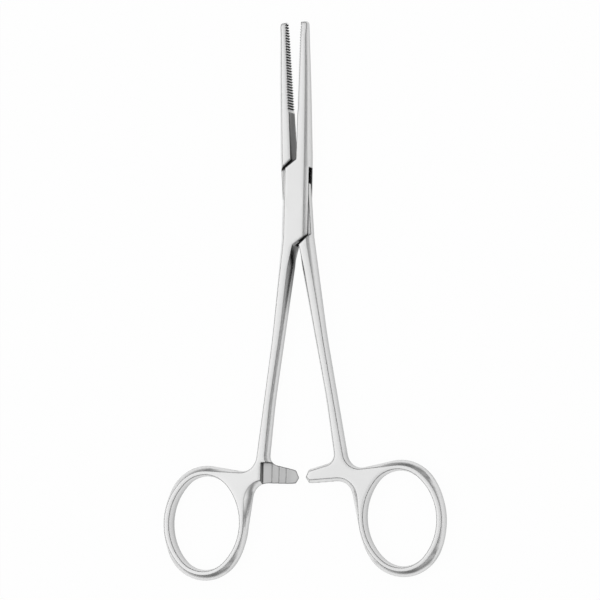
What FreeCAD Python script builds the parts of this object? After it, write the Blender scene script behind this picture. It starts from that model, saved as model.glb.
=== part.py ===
# Straight hemostatic forceps, 14 cm, with box lock, ratchet and finger rings.
# Units are millimetres. The instrument lies flat: X across, Y towards the jaw tips, Z up.
# The origin is the pivot axis, on the plane that the instrument rests on.
#
# Both halves are drawn closed, with the jaws together, and are then turned apart to the
# half-open rest position. The box half has the right jaw, the slotted box and the left shank.
# The tongue half has the left jaw, the tongue through the box and the right shank.
import FreeCAD, Part
import os
import re
import math
import Sketcher

os.makedirs("parts", exist_ok=True)
doc = FreeCAD.newDocument("hemostat")

# Driving dimensions
sizes = {
    # Rest position and thickness of the stock
    "rest_angle": 2.6,          # each half is turned this far from closed
    "box_thick": 4.7,           # over the two faces of the box
    "tip_thick": 2.2,           # jaws at the tip, before the nose is rounded
    "shank_thick": 3.6,         # shanks, webs and rings
    "taper_start": 12.2,        # below the pivot, where the shank begins to thin
    "taper_end": 31.0,          # below the pivot, where the shank reaches its thickness
    # Jaws, seen from the front
    "jaw_reach": 45.8,          # pivot to tip
    "jaw_root": 11.6,           # pivot to where the jaw leaves the box
    "root_gap": 0.25,           # inner face to centre plane at the root
    "tip_gap": 0.03,            # and at the tip, where closed jaws meet
    "face_stock": 0.08,         # forged on the inner face and ground off flat
    "root_wide": 3.62,
    "knee_wide": 2.8,
    "tip_wide": 1.9,
    "jaw_knee": 30.0,           # where the outer side changes its slope
    "knee_round": 150.0,
    "root_crown": 1.15,         # how far the outer side bows out between its two edges
    "knee_crown": 0.85,
    "tip_crown": 0.55,
    "tip_drop": 0.3,
    "tip_round": 0.85,
    "lip_round": 0.35,
    "tongue_lean": 0.28,        # how far the tongue half's jaw leans in at the tip
    "nose_long": 4.6,           # where the rounding of the nose begins, back from the tip
    "nose_high": 1.34,          # its height over the middle plane there
    "nose_low": 0.74,           # and next to the tip
    "nose_round": 0.62,
    "nose_play": 0.03,          # ground off the very tip
    # Serrations of the jaws
    "groove_count": 32,
    "groove_pitch": 0.6875,
    "groove_deep": 0.32,
    "groove_flat": 0.14,        # crest left between grooves
    "groove_start": 0.55,       # tip to the first groove
    # Box lock
    "box_half": 3.8,            # half the width of the box
    "box_crown": 1.2,
    "plate_corner": 7.9,        # the cheeks end in slanted shoulders between these heights
    "plate_end": 11.0,
    "shoulder_gap": 0.12,
    "slot_reach": 9.4,          # radius of the slot's rounded ends
    "tongue_thick": 2.2,
    "tongue_play": 0.08,
    "tongue_corner": 4.3,
    "tongue_end": 9.25,
    "edge_break": 0.22,         # chamfer along the shoulders
    # Pivot pin
    "pin_wide": 2.6,
    "pin_sink": 0.35,           # size of the countersinks that the pin's ends fill
    "pin_play": 0.03,           # between the pin and the tongue's bore, all round
    # Shanks, seen from the front
    "crotch_low": 15.5,
    "crotch_half": 0.3,
    "inner_knee": 50.0,
    "inner_mid": 4.7,
    "inner_low": 65.35,
    "inner_half": 5.95,
    "inner_crown": 0.79,
    "crotch_round": 25.0,
    "side_low": 9.0,
    "outer_knee": 34.0,
    "outer_half": 5.62,
    "outer_crown": 0.5,
    "outer_round": 150.0,
    "saddle_half": 9.6,
    "saddle_round": 4.0,
    "saddle_tilt": 8.0,         # slope of the web's upper edge in the middle plane
    "saddle_turn": 6.5,         # and how much less it slopes at the faces
    # Finger rings
    "ring_side": 22.57,         # closed position of the ring's centre
    "ring_low": 80.66,
    "ring_lean": 1.4,
    "hole_half": 9.66,          # half the opening at the flat faces
    "hole_tall": 12.15,
    "hole_round": 7.9,          # radius at the two ends of the opening
    "hole_crown": 0.4,
    "rim_shift": 0.12,          # the outside's centre lies further out than the opening's
    "rim_half": 11.45,          # half the ring in the middle plane
    "rim_tall": 14.42,
    "rim_round": 10.6,
    "half_crown": 0.6,          # how much less these are at the flat faces
    "tall_crown": 1.37,
    "round_crown": 1.4,
    "flank_tilt": 8.5,          # slope of the web's inner edge in the middle plane
    "flank_turn": 8.5,          # and how much less it slopes at the faces
    "foot_round": 3.9,
    "foot_crown": 1.4,
    # Ratchet arms
    "arm_low": 70.35,
    "arm_high": 66.9,
    "arm_cross": 1.25,          # how far the arm passes the centre plane
    "arm_point": 2.1,
    "arm_crown": 0.5,
    "sole_crown": 0.82,
    "point_crown": 0.7,
    "armpit_round": 2.4,
    "point_place": 0.6,         # share of the arm's width at which its end comes to a point
    "point_round": 0.6,
    "arm_gap": 0.05,            # tooth crests to the middle plane
    "step_side": 7.45,          # where the arm steps down to half the thickness
    "step_top": 65.2,
    "tooth_count": 3,
    "tooth_pitch": 1.9,
    "tooth_first": 1.36,
    "tooth_deep": 0.5,
    "tooth_land": 0.4,
}

sheet = doc.addObject("Spreadsheet::Sheet", "Dimensions")
for row, (alias, value) in enumerate(sizes.items(), start=1):
    sheet.set(f"A{row}", alias)
    sheet.set(f"B{row}", str(value))
    sheet.setAlias(f"B{row}", alias)
doc.recompute()

words = re.compile(r"\b(" + "|".join(sorted(sizes, key=len, reverse=True)) + r")\b")


def formula(text):
    """A size written with the sheet's own words, as an expression of the document."""
    return words.sub(r"Dimensions.\1", text)


def number(text):
    """The value of such an expression now."""
    result = sheet.evalExpression(formula(text))
    return float(getattr(result, "Value", result))


def place(sketch, body, plane, base=("0", "0", "0"), axis=(0, 0, 1), angle="0"):
    """Attach a sketch to one of its body's origin planes, moved and turned by formulas."""
    origin = [item for item in body.Origin.OriginFeatures if item.Role == plane][0]
    sketch.AttachmentSupport = [(origin, "")]
    sketch.MapMode = "FlatFace"
    start = FreeCAD.Vector(*[number(text) for text in base])
    turn = FreeCAD.Rotation(FreeCAD.Vector(*axis), number(angle))
    sketch.AttachmentOffset = FreeCAD.Placement(start, turn)
    for letter, text in zip("xyz", base):
        if text != "0":
            sketch.setExpression(f"AttachmentOffset.Base.{letter}", formula(text))
    if angle != "0":
        sketch.setExpression("AttachmentOffset.Rotation.Angle", formula(angle))


def drive(sketch, driven):
    """Bind numbered constraints of a sketch to their formulas."""
    for index, text in driven:
        sketch.setExpression(f"Constraints[{index}]", formula(text))


def outline(body, name, corners, plane="XY_Plane", **position):
    """A closed sketch through corners (x, y, radius), each a formula; radius None is sharp."""
    sketch = body.newObject("Sketcher::SketchObject", name)
    place(sketch, body, plane, **position)
    points = [FreeCAD.Vector(number(x), number(y), 0) for x, y, _ in corners]
    radii = [number(radius) if radius else 0 for _, _, radius in corners]
    count = len(corners)
    entries = []
    exits = []
    centres = []
    for index in range(count):
        corner = points[index]
        back = (points[index - 1] - corner).normalize()
        ahead = (points[(index + 1) % count] - corner).normalize()
        half = back.getAngle(ahead) / 2
        reach = radii[index] / math.tan(half) if radii[index] else 0
        entries.append(corner + back * reach)
        exits.append(corner + ahead * reach)
        if radii[index]:
            centres.append(corner + (back + ahead).normalize() * (radii[index] / math.sin(half)))
        else:
            centres.append(None)
    shapes = []
    for index in range(count):
        shapes.append(Part.LineSegment(exits[index], entries[(index + 1) % count]))
    arcs = {}
    for index in range(count):
        if centres[index] is None:
            continue
        middle = centres[index]
        leftTurn = (entries[index] - middle).cross(exits[index] - middle).z > 0
        first, last = (entries[index], exits[index]) if leftTurn else (exits[index], entries[index])
        start = math.atan2(first.y - middle.y, first.x - middle.x)
        end = math.atan2(last.y - middle.y, last.x - middle.x)
        if end < start:
            end += 2 * math.pi
        circle = Part.Circle(middle, FreeCAD.Vector(0, 0, 1), radii[index])
        arcs[index] = (len(shapes), leftTurn)
        shapes.append(Part.ArcOfCircle(circle, start, end))
    sketch.addGeometry(shapes, False)
    dots = {}
    for index in arcs:
        dots[index] = sketch.addGeometry(Part.Point(points[index]), True)
    rules = []
    driven = []

    def dimension(kind, text, *where):
        driven.append((len(rules), text))
        rules.append(Sketcher.Constraint(kind, *where, number(text)))

    for index, (x, y, radius) in enumerate(corners):
        before = (index - 1) % count
        if index in arcs:
            arc, leftTurn = arcs[index]
            rules.append(Sketcher.Constraint("Tangent", before, 2, arc, 1 if leftTurn else 2))
            rules.append(Sketcher.Constraint("Tangent", index, 1, arc, 2 if leftTurn else 1))
            rules.append(Sketcher.Constraint("PointOnObject", dots[index], 1, before))
            rules.append(Sketcher.Constraint("PointOnObject", dots[index], 1, index))
            dimension("Radius", radius, arc)
            held = (dots[index], 1)
        else:
            rules.append(Sketcher.Constraint("Coincident", before, 2, index, 1))
            held = (index, 1)
        dimension("DistanceX", x, -1, 1, *held)
        dimension("DistanceY", y, -1, 1, *held)
    sketch.addConstraint(rules)
    drive(sketch, driven)
    return sketch


def loft(body, name, sketches, kind="PartDesign::AdditiveLoft"):
    """A solid, or a hollow, that runs through closed sketches."""
    feature = body.newObject(kind, name)
    feature.Profile = sketches[0]
    feature.Sections = sketches[1:]
    feature.Ruled = True
    return feature


def cut(body, name, sketch, length=None, reverse=False):
    """Cut a sketch out of the body: to a length one way, or through all both ways."""
    feature = body.newObject("PartDesign::Pocket", name)
    feature.Profile = sketch
    if length is None:
        feature.Type = "ThroughAll"
        feature.SideType = "Symmetric"
    else:
        feature.Length = number(length)
        feature.setExpression("Length", formula(length))
        feature.Reversed = reverse
    return feature


# The outlines are written for a half whose jaw is at +X and whose shank is at -X. The other
# half is the same with X turned round. Level 0 is the middle plane, where the sides bow out
# furthest, and level 1 is the plane of the shank's flat faces, where they are ground to an
# edge. A level is the square of its share of the way there, so that the strips between the
# levels follow the round of the side. The faces of the box lie at a higher level.
shares = {"Edge": 1, "Slope": 0.64, "Side": 0.25}
boxLevel = "(box_thick/shank_thick)^2"


def levels(*names):
    """Name, level and height of the sections of a crowned piece, from the front to the back."""
    front = []
    for name in names:
        if name == "Box":
            front.append((name, boxLevel, "box_thick/2"))
        else:
            front.append((name, shares[name] ** 2, f"{shares[name]}*shank_thick/2"))
    back = [("Back" + name, level, "-" + height) for name, level, height in reversed(front)]
    return front + back


def withMiddle(sections):
    half = len(sections) // 2
    return sections[:half] + [("Middle", 0, "0")] + sections[half:]


crowned = withMiddle(levels("Edge", "Slope", "Side"))
crownedToBox = withMiddle(levels("Box", "Edge", "Slope", "Side"))


def mirrored(corners, hand):
    return [(f"{hand}*({x})", y, radius) for x, y, radius in corners]


jawLong = "(jaw_reach-jaw_root)"
kneeLong = "(jaw_knee-jaw_root)"


def jawCorners(level, lean):
    return [
        ("root_gap-face_stock", "0", None),
        (f"root_wide-root_crown*{level}/{boxLevel}", "0", None),
        (f"knee_wide-knee_crown*{level}/{boxLevel}-{lean}*{kneeLong}/{jawLong}", kneeLong,
         "knee_round"),
        (f"tip_wide-tip_crown*{level}/{boxLevel}-{lean}", f"{jawLong}-tip_drop*{level}/{boxLevel}",
         "tip_round"),
        (f"tip_gap-face_stock-{lean}", f"{jawLong}-tip_drop*{level}/{boxLevel}", "lip_round"),
    ]


def addJaw(body, hand, lean):
    """The jaw: a flat inner face, ground front and back, a bowed outer side, a round tip."""
    sections = []
    for name, level, height in crownedToBox:
        tilt = f"-atan(({height})*(1-tip_thick/box_thick)/{jawLong})"
        sections.append(outline(body, "Jaw" + name, mirrored(jawCorners(level, lean), hand),
                                base=("0", "jaw_root", height), axis=(1, 0, 0), angle=tilt))
    loft(body, "Jaw", sections)
    corners = [
        ("root_gap", "jaw_root", None),
        (f"tip_gap-{lean}", "jaw_reach", None),
        (f"tip_gap-{lean}", "2*jaw_reach", None),
        ("-box_half", "2*jaw_reach", None),
        ("-box_half", "jaw_root", None),
    ]
    cut(body, "JawFace", outline(body, "JawFaceOutline", mirrored(corners, hand)))


def addNose(body):
    """Round the jaw's nose over to both faces."""
    corners = [
        ("jaw_reach-nose_long", "nose_high", None),
        ("jaw_reach-nose_play", "nose_low", "nose_round"),
        ("jaw_reach-nose_play", "-nose_low", "nose_round"),
        ("jaw_reach-nose_long", "-nose_high", None),
        ("jaw_reach-nose_long", "-box_thick", None),
        ("jaw_reach+nose_long", "-box_thick", None),
        ("jaw_reach+nose_long", "box_thick", None),
        ("jaw_reach-nose_long", "box_thick", None),
    ]
    cut(body, "Nose", outline(body, "NoseSide", corners, plane="YZ_Plane"))


ringLean = "ring_lean*1deg"


def sideCentre(half, tall, end):
    """How far past the middle of an oval of four arcs its side arcs are centred."""
    return f"((({half})^2+({tall})^2-2*({tall})*({end}))/(2*(({half})-({end})))-({half}))"


def rimSizes(level):
    """Half width, half height and end radius of the ring's outside."""
    return (f"(rim_half-{level}*half_crown)", f"(rim_tall-{level}*tall_crown)",
            f"(rim_round-{level}*round_crown)")


def shankCorners(level, cornerLow, endLow):
    """From the root of the jaw round the box, down the shank and round the ratchet arm."""
    half, tall, rim = rimSizes(level)
    past = sideCentre(half, tall, rim)
    saddleTilt = f"((saddle_tilt-{level}*saddle_turn)*1deg)"
    flankTilt = f"((flank_tilt-{level}*flank_turn)*1deg)"
    topX = f"(ring_side+rim_shift-({tall}-{rim})*sin({ringLean})-{rim}*sin({saddleTilt}))"
    topY = f"(({tall}-{rim})*cos({ringLean})-ring_low+{rim}*cos({saddleTilt}))"
    sideX = f"(ring_side+rim_shift+{past}*cos({ringLean})-({past}+{half})*cos({flankTilt}))"
    sideY = f"({past}*sin({ringLean})-ring_low-({past}+{half})*sin({flankTilt}))"
    saddleX = f"(saddle_half-{level}*outer_crown)"
    sole = f"(arm_low-{level}*sole_crown)"
    arm = f"(arm_high+{level}*arm_crown)"
    boxSide = f"(box_half-box_crown*{level}/{boxLevel})"
    shoulder = f"({cornerLow}+(box_half-{boxSide})*({endLow}-{cornerLow})/(box_half+root_gap))"
    return [
        ("root_gap", "jaw_root", None),
        (f"root_wide-root_crown*{level}/{boxLevel}", "jaw_root", None),
        (boxSide, f"-{shoulder}", None),
        ("-root_gap", f"-{endLow}", None),
        (f"-(crotch_half+{level}*inner_crown)", f"-(crotch_low+{level}*inner_crown)", "crotch_round"),
        (f"-(inner_mid+{level}*inner_crown)", "-inner_knee", "outer_round"),
        (f"-(inner_half+{level}*inner_crown)", f"-(inner_low+{level}*arm_crown)",
         f"armpit_round+{level}*arm_crown"),
        (f"arm_cross-{level}*point_crown", f"-{arm}", "point_round"),
        (f"arm_point-{level}*point_crown", f"-({arm}+point_place*({sole}-{arm}))", "point_round"),
        (f"arm_cross-{level}*point_crown", f"-{sole}", None),
        (f"-({sideX}+({sole}+{sideY})*tan({flankTilt}))", f"-{sole}",
         f"foot_round+{level}*foot_crown"),
        (f"-{sideX}", sideY, None),
        ("-(ring_side-0.5*hole_half)", "0.5*hole_half-ring_low", None),
        (f"-{topX}", topY, None),
        (f"-{saddleX}", f"{topY}-({topX}-{saddleX})*tan({saddleTilt})",
         f"saddle_round+{level}*outer_crown"),
        (f"-(outer_half-{level}*outer_crown)", "-outer_knee", "outer_round"),
        (f"-{boxSide}", "-side_low", None),
        (f"-{boxSide}", shoulder, None),
        ("root_gap", endLow, None),
    ]


def addShank(body, hand, cornerLow, endLow):
    """The box, the shank, the web and the ratchet arm are forged in one with the jaw."""
    sections = []
    for name, level, height in crownedToBox:
        corners = mirrored(shankCorners(level, cornerLow, endLow), hand)
        sections.append(outline(body, "Shank" + name, corners, base=("0", "0", height)))
    return loft(body, "Shank", sections)


def addTaper(body):
    """Grind the shank down from the box's thickness to that of the rings, front and back."""
    corners = [
        ("-taper_start", "box_thick/2", None),
        ("-taper_end", "shank_thick/2", None),
        ("-2*ring_low", "shank_thick/2", None),
        ("-2*ring_low", "-shank_thick/2", None),
        ("-taper_end", "-shank_thick/2", None),
        ("-taper_start", "-box_thick/2", None),
        ("-taper_start", "-box_thick", None),
        ("-3*ring_low", "-box_thick", None),
        ("-3*ring_low", "box_thick", None),
        ("-taper_start", "box_thick", None),
    ]
    cut(body, "Taper", outline(body, "TaperSide", corners, plane="YZ_Plane"))


def oval(body, name, side, turn, height, half, tall, end):
    """Four tangent arcs about the ring's centre, with the end arcs' radius given."""
    sketch = body.newObject("Sketcher::SketchObject", name)
    place(sketch, body, "XY_Plane", base=(side, "-ring_low", height), angle=turn)
    past = sideCentre(half, tall, end)
    endCentre = number(f"{tall}-{end}")
    sideShift = number(past)
    endRadius = number(end)
    sideRadius = number(f"{past}+{half}")
    swing = math.atan2(endCentre, sideShift)
    up = FreeCAD.Vector(0, 0, 1)
    places = [
        (FreeCAD.Vector(0, endCentre, 0), endRadius, swing, math.pi - swing),
        (FreeCAD.Vector(sideShift, 0, 0), sideRadius, math.pi - swing, math.pi + swing),
        (FreeCAD.Vector(0, -endCentre, 0), endRadius, math.pi + swing, 2 * math.pi - swing),
        (FreeCAD.Vector(-sideShift, 0, 0), sideRadius, -swing, swing),
    ]
    arcs = [Part.ArcOfCircle(Part.Circle(centre, up, radius), start, end)
            for centre, radius, start, end in places]
    sketch.addGeometry(arcs, False)
    rules = [Sketcher.Constraint("Tangent", index, 2, (index + 1) % 4, 1) for index in range(4)]
    driven = []
    for arc, axis, kind, text in ((0, -2, "DistanceY", f"{tall}-{end}"),
                                  (1, -1, "DistanceX", past),
                                  (2, -2, "DistanceY", f"{end}-{tall}"),
                                  (3, -1, "DistanceX", f"-{past}")):
        if arc < 3:
            rules.append(Sketcher.Constraint("PointOnObject", arc, 3, axis))
        driven.append((len(rules), text))
        rules.append(Sketcher.Constraint(kind, -1, 1, arc, 3, number(text)))
    driven.append((len(rules), end))
    rules.append(Sketcher.Constraint("Radius", 0, endRadius))
    sketch.addConstraint(rules)
    drive(sketch, driven)
    return sketch


def addRing(body, hand):
    """The finger ring, crowned outside and a little inside, with flat faces."""
    turn = f"-{hand}*{ringLean}"
    rim = [oval(body, "Ring" + name, f"-{hand}*(ring_side+rim_shift)", turn, height, *rimSizes(level))
           for name, level, height in crowned]
    loft(body, "Ring", rim)
    hole = []
    for name, level, height in levels("Edge", "Side"):
        opening = [f"({size}-(1-{level})*hole_crown)" for size in ("hole_half", "hole_tall", "hole_round")]
        hole.append(oval(body, "Opening" + name, f"-{hand}*ring_side", turn, height, *opening))
    loft(body, "Opening", hole, "PartDesign::SubtractiveLoft")


def addRatchet(body, hand):
    """Step the arm down to half the thickness and leave the saw teeth standing on it."""
    crest = "-arm_gap"
    root = "-(arm_gap+tooth_deep)"
    fall = "tooth_deep/(tooth_pitch-tooth_land)"
    count = int(number("tooth_count"))
    lastSteep = f"(tooth_first+{count - 1}*tooth_pitch)"
    corners = [("-step_side", "box_thick", None),
               ("-step_side", f"{root}+(step_side-{lastSteep})*{fall}", None)]
    for index in range(count - 1, -1, -1):
        steep = f"-(tooth_first+{index}*tooth_pitch)"
        corners.append((steep, root, None))
        corners.append((steep, crest, None))
        corners.append((f"{steep}+tooth_land", crest, None))
    corners.append(("2*arm_point", f"{crest}-(2*arm_point+tooth_first-tooth_land)*{fall}", None))
    corners.append(("2*arm_point", "box_thick", None))
    turned = [(f"{hand}*({x})", f"{hand}*({z})", radius) for x, z, radius in corners]
    saw = outline(body, "RatchetSide", turned, plane="XZ_Plane", base=("0", "0", "step_top"))
    cut(body, "Ratchet", saw, length="arm_low-step_top+point_crown", reverse=True)


def addSerrations(body, hand, shift, lean):
    """V grooves across the inner face of the jaw, from the tip back."""
    slant = f"atan((root_gap-tip_gap+{lean})/{jawLong})"
    first = f"(groove_start+{shift})"
    wide = "(groove_pitch-groove_flat)"
    corners = [
        (f"-{hand}*groove_deep", f"-{first}", None),
        ("0", f"-{first}", None),
        (f"{hand}*groove_deep", f"-({first}+{wide}/2)", None),
        ("0", f"-({first}+{wide})", None),
        (f"-{hand}*groove_deep", f"-({first}+{wide})", None),
    ]
    sketch = outline(body, "GrooveOutline", corners, angle=f"{hand}*{slant}",
                     base=(f"{hand}*(tip_gap-{lean})", "jaw_reach", "0"))
    groove = cut(body, "Groove", sketch)
    rows = body.newObject("PartDesign::LinearPattern", "Serrations")
    rows.Originals = [groove]
    rows.Direction = (sketch, ["V_Axis"])
    rows.Reversed = True
    rows.Mode = "Spacing"
    rows.setExpression("Offset", formula("groove_pitch"))
    rows.setExpression("Occurrences", formula("groove_count"))
    body.Tip = rows
    return rows


def addBore(body, diameter):
    circle = body.newObject("Sketcher::SketchObject", "BoreCircle")
    place(circle, body, "XY_Plane", base=("0", "0", "-box_thick"))
    radius = number(diameter) / 2
    circle.addGeometry(Part.Circle(FreeCAD.Vector(0, 0, 0), FreeCAD.Vector(0, 0, 1), radius), False)
    circle.addConstraint([Sketcher.Constraint("Coincident", 0, 3, -1, 1),
                          Sketcher.Constraint("Diameter", 0, 2 * radius)])
    circle.setExpression("Constraints[1]", formula(diameter))
    return cut(body, "Bore", circle, length="2*box_thick", reverse=True)


def addSlot(body):
    """The slot through the box, open where the tongue enters and leaves, with round ends."""
    sketch = body.newObject("Sketcher::SketchObject", "SlotOutline")
    place(sketch, body, "XY_Plane", base=("0", "0", "-(tongue_thick/2+tongue_play)"))
    radius = number("slot_reach")
    inner = number("root_gap")
    top = math.sqrt(radius ** 2 - inner ** 2)
    reach = 2 * radius
    start = math.asin(inner / radius)
    points = [(inner, top), (inner, reach), (-reach, reach), (-reach, 0), (-radius, 0),
              (-inner, -top), (-inner, -reach), (reach, -reach), (reach, 0), (radius, 0)]
    points = [FreeCAD.Vector(x, y, 0) for x, y in points]
    circle = Part.Circle(FreeCAD.Vector(0, 0, 0), FreeCAD.Vector(0, 0, 1), radius)
    runs = [(0, 1), (1, 2), (2, 3), (3, 4), (5, 6), (6, 7), (7, 8), (8, 9)]
    shapes = [Part.LineSegment(points[first], points[last]) for first, last in runs]
    shapes.insert(4, Part.ArcOfCircle(circle, math.pi, 1.5 * math.pi - start))
    shapes.append(Part.ArcOfCircle(circle, 0, 0.5 * math.pi - start))
    sketch.addGeometry(shapes, False)
    rules = [Sketcher.Constraint("Coincident", edge, 2, edge + 1, 1) for edge in range(8)]
    rules.append(Sketcher.Constraint("Coincident", 8, 2, 9, 1))
    rules.append(Sketcher.Constraint("Coincident", 9, 2, 0, 1))
    rules += [Sketcher.Constraint("Coincident", arc, 3, -1, 1) for arc in (4, 9)]
    rules += [Sketcher.Constraint("Vertical", edge) for edge in (0, 2, 5, 7)]
    rules += [Sketcher.Constraint("Horizontal", edge) for edge in (1, 6)]
    rules += [Sketcher.Constraint("PointOnObject", edge, 2, -1) for edge in (2, 3, 7, 8)]
    driven = []
    for kind, text, *where in (("Radius", "slot_reach", 4), ("Radius", "slot_reach", 9),
                               ("DistanceX", "root_gap", -1, 1, 0, 1),
                               ("DistanceX", "-root_gap", -1, 1, 5, 1),
                               ("DistanceX", "-2*slot_reach", -1, 1, 2, 1),
                               ("DistanceX", "2*slot_reach", -1, 1, 7, 1),
                               ("DistanceY", "2*slot_reach", -1, 1, 1, 1),
                               ("DistanceY", "-2*slot_reach", -1, 1, 6, 1)):
        driven.append((len(rules), text))
        rules.append(Sketcher.Constraint(kind, *where, number(text)))
    sketch.addConstraint(rules)
    drive(sketch, driven)
    return cut(body, "Slot", sketch, length="tongue_thick+2*tongue_play", reverse=True)


# The shoulders' slope, and how far the tongue half's lie beyond the box half's along Y
slope = "((plate_end-plate_corner)/(box_half+root_gap))"
shoulderLift = f"(shoulder_gap*sqrt(1+{slope}^2))"


def addTongue(body, hand):
    """Thin the middle down to the tongue that turns in the slot, between slanted shoulders."""
    wide = "(2*box_half)"
    high = f"(plate_corner+{shoulderLift}-({wide}-box_half)*{slope})"
    low = f"(plate_corner+{shoulderLift}+({wide}+box_half)*{slope})"
    corners = [(wide, high, None), (f"-{wide}", low, None),
               (f"-{wide}", f"-{high}", None), (wide, f"-{low}", None)]
    for name, side in (("TongueFront", ""), ("TongueBack", "-")):
        sketch = outline(body, name + "Outline", mirrored(corners, hand),
                         base=("0", "0", f"{side}tongue_thick/2"))
        cut(body, name, sketch, length="box_thick", reverse=(side == ""))


def chamfer(body, name, found, size):
    """Chamfer the edges of the front and back faces that a test picks."""
    doc.recompute()
    base = body.Tip
    height = number("box_thick/2")
    names = []
    for index, edge in enumerate(base.Shape.Edges, start=1):
        level = all(abs(abs(vertex.Z) - height) < 1e-4 for vertex in edge.Vertexes)
        if level and found(edge):
            names.append(f"Edge{index}")
    feature = body.newObject("PartDesign::Chamfer", name)
    feature.Base = (base, names)
    feature.Size = number(size)
    feature.setExpression("Size", formula(size))
    return feature


def breakEdges(body, lift):
    """Break the edges of the slanted shoulders, which lie a given height beyond the cheeks'."""
    across = number("0.5*(box_half-box_crown)")
    along = number(f"plate_end-root_gap*{slope}+{lift}") - across * number(slope)

    def onShoulder(edge):
        spots = [Part.Vertex(side * across, -side * along, edge.Vertexes[0].Z) for side in (-1, 1)]
        return any(edge.distToShape(spot)[0] < 1e-3 for spot in spots)

    return chamfer(body, "ShoulderBreak", onShoulder, "edge_break")


def sinkBore(body):
    """Countersink the bore where the ends of the pin are spread in it."""
    def roundBore(edge):
        return isinstance(edge.Curve, Part.Circle) and edge.Curve.Center.sub(
            FreeCAD.Vector(0, 0, edge.Vertexes[0].Z)).Length < 1e-6

    return chamfer(body, "Countersinks", roundBore, "pin_sink")


def makeHalf(name, hand, cornerLow, endLow, bore, jawLean):
    body = doc.addObject("PartDesign::Body", name)
    body.Label = name
    addShank(body, hand, cornerLow, endLow)
    addBore(body, bore)
    if hand > 0:
        sinkBore(body)
    addJaw(body, hand, jawLean)
    addNose(body)
    addTaper(body)
    addRing(body, hand)
    addRatchet(body, hand)
    return body


# The box half, whose cheeks hold the pin
boxHalf = makeHalf("box_half", 1, "plate_corner", "plate_end", "pin_wide", "0")
addSlot(boxHalf)
breakEdges(boxHalf, "0")
addSerrations(boxHalf, 1, "0.5*groove_pitch", "0")

# The tongue half, which turns on the pin
tongueHalf = makeHalf("tongue_half", -1, "tongue_corner", "tongue_end", "pin_wide+2*pin_play",
                      "tongue_lean")
addTongue(tongueHalf, -1)
breakEdges(tongueHalf, shoulderLift)
addSerrations(tongueHalf, -1, "0", "tongue_lean")

# The pin, spread at both ends into the countersinks and ground flush
pin = doc.addObject("PartDesign::Body", "pivot_pin")
pin.Label = "pivot_pin"
profile = outline(pin, "PinOutline", [
    ("0", "-box_thick/2", None),
    ("pin_wide/2+pin_sink", "-box_thick/2", None),
    ("pin_wide/2", "pin_sink-box_thick/2", None),
    ("pin_wide/2", "box_thick/2-pin_sink", None),
    ("pin_wide/2+pin_sink", "box_thick/2", None),
    ("0", "box_thick/2", None),
], plane="XZ_Plane")
turned = pin.newObject("PartDesign::Revolution", "Pin")
turned.Profile = profile
turned.ReferenceAxis = (profile, ["V_Axis"])
turned.Angle = 360

# Rest position: half open, lying on the back faces
for body, axis in ((boxHalf, -1), (tongueHalf, 1), (pin, None)):
    turn = number("rest_angle") if axis else 0
    body.Placement = FreeCAD.Placement(FreeCAD.Vector(0, 0, number("box_thick/2")),
                                       FreeCAD.Rotation(FreeCAD.Vector(0, 0, axis or 1), turn))
    body.setExpression("Placement.Base.z", formula("box_thick/2"))
    if axis:
        body.setExpression("Placement.Rotation.Angle", formula("rest_angle"))
doc.recompute()

# Checks, then one STEP file for each piece
for item in doc.Objects:
    faults = {"Invalid", "Error"} & set(item.State)
    if faults:
        raise RuntimeError(f"{item.Name} is in state {sorted(faults)}")
for body in (boxHalf, tongueHalf, pin):
    if body.Shape.isNull() or not body.Shape.isValid() or len(body.Shape.Solids) != 1:
        raise RuntimeError(f"{body.Label} is not one valid solid")
    body.Shape.exportStep(f"parts/{body.Label}.step")
    print(body.Label, round(body.Shape.Volume, 1), "mm3")
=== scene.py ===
# Straight hemostat of satin stainless steel, lying a little open on a white studio table
import math
import bmesh
import bpy
from mathutils import Matrix, Vector

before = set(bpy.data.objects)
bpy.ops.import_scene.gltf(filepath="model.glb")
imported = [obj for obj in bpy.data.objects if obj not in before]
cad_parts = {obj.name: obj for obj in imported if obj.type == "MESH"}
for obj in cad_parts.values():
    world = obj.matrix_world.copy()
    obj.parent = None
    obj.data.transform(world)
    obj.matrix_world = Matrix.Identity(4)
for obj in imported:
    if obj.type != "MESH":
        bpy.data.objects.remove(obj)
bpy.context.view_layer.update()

mm = 0.001
print("frame loaded:", ", ".join(sorted(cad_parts)))


# Camera: looks down on the table, from a little to the right of the instrument and from its
# ring end
camera = {
    "yaw": 22.0,            # degrees towards the right of straight above
    "pitch": -4.62,         # and towards the rings
    "roll": 1.0,            # the jaws lean this much to the left in the picture
    "distance": 872.0,      # mm
    "target": (0.195, -24.443, 2.35),
    "pictureWidth": 150.0,  # mm across the picture at the target
    "sensor": 36.0,
    "nearMm": 10.0,         # nothing is drawn nearer or farther than these
    "farMm": 10000.0,
}


def placeCamera(c):
    yaw, pitch, roll = (math.radians(c[k]) for k in ("yaw", "pitch", "roll"))
    back = Vector((math.sin(yaw) * math.cos(pitch), math.sin(pitch), math.cos(yaw) * math.cos(pitch)))
    right = Vector((math.cos(yaw), 0, -math.sin(yaw)))
    up = back.cross(right)
    rolledRight = right * math.cos(roll) - up * math.sin(roll)
    rolledUp = right * math.sin(roll) + up * math.cos(roll)
    data = bpy.data.cameras.new("camera")
    data.sensor_width = c["sensor"]
    data.lens = c["sensor"] * c["distance"] / c["pictureWidth"]
    data.clip_start = c["nearMm"] * mm
    data.clip_end = c["farMm"] * mm
    eye = bpy.data.objects.new("camera", data)
    bpy.context.scene.collection.objects.link(eye)
    turn = Matrix((rolledRight, rolledUp, back)).transposed().to_4x4()
    eye.matrix_world = Matrix.Translation((Vector(c["target"]) + back * c["distance"]) * mm) @ turn
    bpy.context.scene.camera = eye


placeCamera(camera)
print("camera placed")


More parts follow.
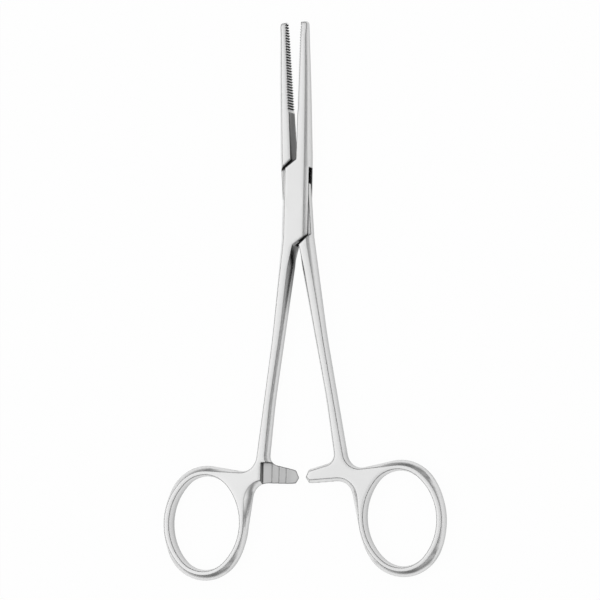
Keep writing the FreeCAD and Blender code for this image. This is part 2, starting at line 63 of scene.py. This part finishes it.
def linear(hexColour):
    parts = [int(hexColour[i:i + 2], 16) / 255 for i in (1, 3, 5)]
    return [p / 12.92 if p <= 0.04045 else ((p + 0.055) / 1.055) ** 2.4 for p in parts] + [1.0]


def addNode(tree, kind, settings=None, links=None):
    # settings name a property or a socket, and links a socket and where it comes from
    node = tree.nodes.new(kind)
    for key, value in (settings or {}).items():
        if isinstance(key, str) and hasattr(node, key):
            setattr(node, key, value)
        else:
            node.inputs[key].default_value = value
    for key, source in (links or {}).items():
        tree.links.new(source, node.inputs[key])
    return node


# Satin stainless steel: ground lengthwise, then blasted with fine glass beads. The flats look
# an even pale grey with a fine grain. The thin dark line along the ground edges, and the dark in
# grooves, joints and low on side walls, are painted shade in the colour. The ratchet is milled
# after that and left duller.
satinSteel = {
    "colour": "#e3e3e3",
    "roughness": 0.22,
    "roughnessChange": 0.03,
    "grainMm": 0.16,        # bead marks are 0.05 mm, drawn this coarse so that they show
    "beltMm": (0.25, 8.0),  # grinding marks, across and along
    "cloudMm": 9.0,         # slow change of the blasting from place to place
    "bumpMm": 0.01,
    "bumpStrength": 0.2,
    # Edges and the flats between them
    "edgeMm": 0.36,               # radius of the edges after the beads
    "edgeFlatness": (0.87, 0.994),  # the painted dark line is darkest below the first and ends at the second
    "edgePaintedShade": 0.05,             # share of the colour left on the very edge, as painted shade
    "edgePaintedLines": 2.0,             # a higher value makes the painted shade lines along the edges darker
    "domeMm": 1.6,                # how far in from its edges a hand-ground flat falls off
    "domeShare": 0.25,
    "pinMm": 2.0,                 # the pin was ground flush with the cheek, so its rim has no edge
    # Painted shade in grooves, joints and low on side walls near the table
    "creviceMm": 6.5,
    "creviceOpenness": (0.32, 0.99),  # painted shade is darkest below the first and gone from the second
    "crevicePaintedShade": 0.07,
    # The ratchet's faces look up or down, inside a block in mm
    "milledColour": "#cecece",
    "milledRoughness": 0.42,
    "milledPaintedShadeLift": 0.7,            # their painted crevice shade is lifted by this much, so they stay even up to their corners
    "milledPaintedLines": 4.0,           # and the painted shade lines between the teeth are darker than the others
    "milledFacing": 0.8,
    "milledFrom": (-11.5, -72.5, 0.9),
    "milledTo": (11.5, -64.5, 3.8),
    # The jaws' serrated faces look sideways, inside a block in mm
    "gripPaintedHighlight": 1.25,           # painted highlight on the crests and on the flanks that face the tips
    "gripRoughness": 0.7,
    "gripFacing": 0.5,
    "gripPaintedShadeFacing": -0.3,            # a flank that looks more than this towards the rings is painted black as shade
    "gripFrom": (-2.4, 22.8, -0.1),
    "gripTo": (2.4, 46.0, 4.8),
}


def makeSatinSteel(s):
    material = bpy.data.materials.new("satinStainlessSteel")
    material.use_nodes = True
    tree = material.node_tree
    tree.nodes.clear()

    def calc(operation, first, second=0.0, clamp=False):
        node = addNode(tree, "ShaderNodeMath", {"operation": operation, "use_clamp": clamp})
        for index, source in enumerate((first, second)):
            if isinstance(source, (int, float)):
                node.inputs[index].default_value = source
            else:
                tree.links.new(source, node.inputs[index])
        return node.outputs[0]

    place = addNode(tree, "ShaderNodeTexCoord").outputs["Object"]
    grain = addNode(tree, "ShaderNodeTexNoise", {"Scale": 1000 / s["grainMm"], "Detail": 2.0},
                    {"Vector": place})
    across, along = (1000 / size for size in s["beltMm"])
    stretched = addNode(tree, "ShaderNodeMapping", {"Scale": (across, along, across)},
                        {"Vector": place})
    belt = addNode(tree, "ShaderNodeTexNoise", {"Scale": 1.0, "Detail": 2.0},
                   {"Vector": stretched.outputs["Vector"]})
    cloud = addNode(tree, "ShaderNodeTexNoise", {"Scale": 1000 / s["cloudMm"], "Detail": 3.0},
                    {"Vector": place})

    # Where the milled and the serrated faces are
    surfaceHere = addNode(tree, "ShaderNodeNewGeometry")
    spot = addNode(tree, "ShaderNodeSeparateXYZ", {}, {"Vector": place})
    facing = addNode(tree, "ShaderNodeSeparateXYZ", {}, {"Vector": surfaceHere.outputs["True Normal"]})
    upright = calc("ABSOLUTE", facing.outputs["Z"])

    def within(mask, lowCorner, highCorner):
        for axis, low, high in zip("XYZ", lowCorner, highCorner):
            mask = calc("MULTIPLY", mask, calc("GREATER_THAN", spot.outputs[axis], low * mm))
            mask = calc("MULTIPLY", mask, calc("LESS_THAN", spot.outputs[axis], high * mm))
        return mask

    milled = within(calc("GREATER_THAN", upright, s["milledFacing"]), s["milledFrom"], s["milledTo"])
    gripping = within(calc("LESS_THAN", upright, s["gripFacing"]), s["gripFrom"], s["gripTo"])

    # Edges are rounded in the light only, and neither at the pin's rim nor on the serrations
    flatSpot = addNode(tree, "ShaderNodeCombineXYZ", {}, {"X": spot.outputs["X"], "Y": spot.outputs["Y"]})
    fromPin = addNode(tree, "ShaderNodeVectorMath", {"operation": "LENGTH"},
                      {0: flatSpot.outputs["Vector"]}).outputs["Value"]
    rounded = calc("MULTIPLY", calc("GREATER_THAN", fromPin, s["pinMm"] * mm),
                   calc("SUBTRACT", 1.0, gripping))
    edge = addNode(tree, "ShaderNodeBevel", {"samples": 6, "Radius": s["edgeMm"] * mm})
    dome = addNode(tree, "ShaderNodeBevel", {"samples": 4, "Radius": s["domeMm"] * mm})
    domed = addNode(tree, "ShaderNodeMix", {"data_type": "VECTOR", "Factor": s["domeShare"]},
                    {"A": edge.outputs["Normal"], "B": dome.outputs["Normal"]})
    worn = addNode(tree, "ShaderNodeMix", {"data_type": "VECTOR"},
                   {"Factor": rounded, "A": surfaceHere.outputs["Normal"], "B": domed.outputs["Result"]})
    shape = addNode(tree, "ShaderNodeVectorMath", {"operation": "NORMALIZE"},
                    {0: worn.outputs["Result"]}).outputs["Vector"]

    # Painted shade: a thin dark line is put along each edge, where the rounded surface leaves the true one
    flatness = addNode(tree, "ShaderNodeVectorMath", {"operation": "DOT_PRODUCT"},
                       {0: edge.outputs["Normal"], 1: surfaceHere.outputs["Normal"]}).outputs["Value"]
    flatness = calc("MAXIMUM", flatness, calc("SUBTRACT", 1.0, rounded))
    lowest, highest = s["edgeFlatness"]
    line = addNode(tree, "ShaderNodeMapRange", {"From Min": lowest, "From Max": highest,
                   "To Min": s["edgePaintedShade"]}, {"Value": flatness}).outputs["Result"]
    # On the ratchet the painted edge lines are made darker still, as shade between the teeth
    line = calc("POWER", line, calc("ADD", s["edgePaintedLines"], calc("MULTIPLY", milled, s["milledPaintedLines"])))

    # Painted shade darkens joints, grooves and low side walls. On the serrations one flank of each
    # groove is painted dark as shade, and the other flank and the crest get a painted highlight.
    reach = addNode(tree, "ShaderNodeAmbientOcclusion", {"samples": 8, "Distance": s["creviceMm"] * mm})
    lowest, highest = s["creviceOpenness"]
    paintedCreviceShade = addNode(tree, "ShaderNodeMapRange", {"From Min": lowest, "From Max": highest,
                   "To Min": s["crevicePaintedShade"]}, {"Value": reach.outputs["AO"]}).outputs["Result"]
    even = calc("ADD", paintedCreviceShade, calc("MULTIPLY", milled, s["milledPaintedShadeLift"]), clamp=True)
    plain = calc("MULTIPLY", even, line)
    # Painted light on the serrations: a painted highlight where a flank looks towards the tips, and black
    # painted shade where it looks towards the rings
    serrated = calc("MULTIPLY", calc("GREATER_THAN", facing.outputs["Y"], s["gripPaintedShadeFacing"]), s["gripPaintedHighlight"])
    light = addNode(tree, "ShaderNodeMix", {"data_type": "FLOAT"},
                    {"Factor": gripping, "A": plain, "B": serrated}).outputs["Result"]

    bare = addNode(tree, "ShaderNodeMix", {"data_type": "RGBA", "A": linear(s["colour"]),
                   "B": linear(s["milledColour"])}, {"Factor": milled})
    shaded = addNode(tree, "ShaderNodeVectorMath", {"operation": "SCALE"},
                     {0: bare.outputs["Result"], "Scale": light})
    rough = addNode(tree, "ShaderNodeMapRange", {"From Min": 0.3, "From Max": 0.7,
                    "To Min": s["roughness"] - s["roughnessChange"],
                    "To Max": s["roughness"] + s["roughnessChange"]}, {"Value": cloud.outputs["Fac"]})
    dulled = calc("ADD", calc("MULTIPLY", milled, s["milledRoughness"] - s["roughness"]),
                  calc("MULTIPLY", gripping, s["gripRoughness"] - s["roughness"]))
    height = calc("ADD", grain.outputs["Fac"], belt.outputs["Fac"])
    bump = addNode(tree, "ShaderNodeBump", {"Strength": s["bumpStrength"], "Distance": s["bumpMm"] * mm},
                   {"Height": height, "Normal": shape})
    surface = addNode(tree, "ShaderNodeBsdfPrincipled", {"Metallic": 1.0},
                      {"Base Color": shaded.outputs["Vector"],
                       "Roughness": calc("ADD", rough.outputs["Result"], dulled),
                       "Normal": bump.outputs["Normal"]})
    addNode(tree, "ShaderNodeOutputMaterial", {}, {"Surface": surface.outputs["BSDF"]})
    return material


steel = makeSatinSteel(satinSteel)


# How the ground surfaces run: smooth where they flow into each other, and crisp at real edges
shading = {
    "joinMm": 0.001,
    "crispDegrees": 25.0,
}


def smoothedEdges(s):
    # Joins the loose triangles, then shades them smooth except across real edges
    group = bpy.data.node_groups.new("smoothedEdges", "GeometryNodeTree")
    group.interface.new_socket("Geometry", in_out="INPUT", socket_type="NodeSocketGeometry")
    group.interface.new_socket("Geometry", in_out="OUTPUT", socket_type="NodeSocketGeometry")
    start = addNode(group, "NodeGroupInput")
    joined = addNode(group, "GeometryNodeMergeByDistance", {"Distance": s["joinMm"] * mm},
                     {"Geometry": start.outputs[0]})
    soft = addNode(group, "GeometryNodeSetShadeSmooth", {"domain": "FACE", "Shade Smooth": True},
                   {"Geometry": joined.outputs["Geometry"]})
    angle = addNode(group, "GeometryNodeInputMeshEdgeAngle")
    crisp = addNode(group, "FunctionNodeCompare", {"data_type": "FLOAT", "operation": "GREATER_THAN",
                    "B": math.radians(s["crispDegrees"])}, {"A": angle.outputs["Unsigned Angle"]})
    edged = addNode(group, "GeometryNodeSetShadeSmooth", {"domain": "EDGE", "Shade Smooth": False},
                    {"Geometry": soft.outputs["Geometry"], "Selection": crisp.outputs["Result"]})
    addNode(group, "NodeGroupOutput", {}, {0: edged.outputs["Geometry"]})
    return group


edges = smoothedEdges(shading)
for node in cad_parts.values():
    node.data.materials.clear()
    node.data.materials.append(steel)
    node.modifiers.new("smoothedEdges", "NODES").node_group = edges
print("steel finished")


# Studio: a white table under a large soft lamp, in a room that is white above and grey around.
# The camera's own stand leaves a slightly darker strip over the table.
studio = {
    "tableSize": 6.0,
    "tableColour": "#fafafa",
    "whiteShare": 0.97,
    "lamps": {
        "overheadLeft": {"place": (-0.96, 0.1, 1.15), "size": (1.5, 1.5), "power": 2.0},
    },
    # Height in the room, from the horizon to straight above, and how bright it is there
    "room": ((0.0, 0.85), (0.06, 0.75), (0.2, 0.25), (0.45, 0.3), (0.66, 1.0), (1.0, 1.0)),
    # Share of that light, from the far left of the ceiling to the far right
    "strip": ((0.0, 1.0), (0.24, 0.9), (0.32, 0.75), (0.42, 0.57), (0.5, 0.57), (0.57, 1.0), (1.0, 1.0)),
}


def whiteToCamera(tree, surface, strength):
    # The camera, mirrors and glass see plain white in part, and the rest keeps the shadow
    seen = addNode(tree, "ShaderNodeLightPath")
    mirrored = addNode(tree, "ShaderNodeMath", {"operation": "ADD"},
                       {0: seen.outputs["Is Glossy Ray"], 1: seen.outputs["Is Transmission Ray"]})
    straight = addNode(tree, "ShaderNodeMath", {"operation": "ADD", "use_clamp": True},
                       {0: seen.outputs["Is Camera Ray"], 1: mirrored.outputs[0]})
    share = addNode(tree, "ShaderNodeMath", {"operation": "MULTIPLY", 1: strength},
                    {0: straight.outputs[0]})
    white = addNode(tree, "ShaderNodeEmission", {"Color": (1, 1, 1, 1), "Strength": 1.0})
    return addNode(tree, "ShaderNodeMixShader", {}, {0: share.outputs[0], 1: surface.outputs[0],
                   2: white.outputs[0]})


def layTable(s):
    # Matt uncoated paper: it has no gloss, and shows a soft shadow and nothing else
    mesh = bpy.data.meshes.new("table")
    sheet = bmesh.new()
    bmesh.ops.create_grid(sheet, x_segments=1, y_segments=1, size=s["tableSize"] / 2)
    sheet.to_mesh(mesh)
    sheet.free()
    table = bpy.data.objects.new("table", mesh)
    bpy.context.scene.collection.objects.link(table)
    paper = bpy.data.materials.new("whitePaperTable")
    paper.use_nodes = True
    tree = paper.node_tree
    tree.nodes.clear()
    matt = addNode(tree, "ShaderNodeBsdfDiffuse", {"Color": linear(s["tableColour"])})
    mixed = whiteToCamera(tree, matt, s["whiteShare"])
    addNode(tree, "ShaderNodeOutputMaterial", {}, {"Surface": mixed.outputs[0]})
    mesh.materials.append(paper)


def hangLamp(name, lamp):
    light = bpy.data.lights.new(name, "AREA")
    light.shape = "RECTANGLE"
    light.size, light.size_y = lamp["size"]
    light.energy = lamp["power"]
    holder = bpy.data.objects.new(name, light)
    place = Vector(lamp["place"])
    turn = place.to_track_quat("Z", "Y").to_matrix().to_4x4()
    holder.matrix_world = Matrix.Translation(place) @ turn
    bpy.context.scene.collection.objects.link(holder)


def lightRoom(s):
    world = bpy.data.worlds.new("studio")
    world.use_nodes = True
    tree = world.node_tree
    tree.nodes.clear()
    direction = addNode(tree, "ShaderNodeTexCoord").outputs["Generated"]
    parts = addNode(tree, "ShaderNodeSeparateXYZ", {}, {"Vector": direction})
    across = addNode(tree, "ShaderNodeMapRange", {"From Min": -1.0}, {"Value": parts.outputs["X"]})
    ramps = []
    for levels, position in ((s["room"], parts.outputs["Z"]), (s["strip"], across.outputs["Result"])):
        ramp = addNode(tree, "ShaderNodeValToRGB", {}, {"Fac": position})
        stops = ramp.color_ramp.elements
        while len(stops) < len(levels):
            stops.new(1.0)
        for stop, (place, level) in zip(stops, levels):
            stop.position = place
            stop.color = (level, level, level, 1)
        ramps.append(ramp.outputs["Color"])
    both = addNode(tree, "ShaderNodeVectorMath", {"operation": "MULTIPLY"}, {0: ramps[0], 1: ramps[1]})
    sky = addNode(tree, "ShaderNodeBackground", {"Strength": 1.0}, {"Color": both.outputs["Vector"]})
    addNode(tree, "ShaderNodeOutputWorld", {}, {"Surface": sky.outputs["Background"]})
    bpy.context.scene.world = world


layTable(studio)
for name, lamp in studio["lamps"].items():
    hangLamp(name, lamp)
lightRoom(studio)
bpy.context.scene.view_settings.view_transform = "Standard"
print("studio lit")
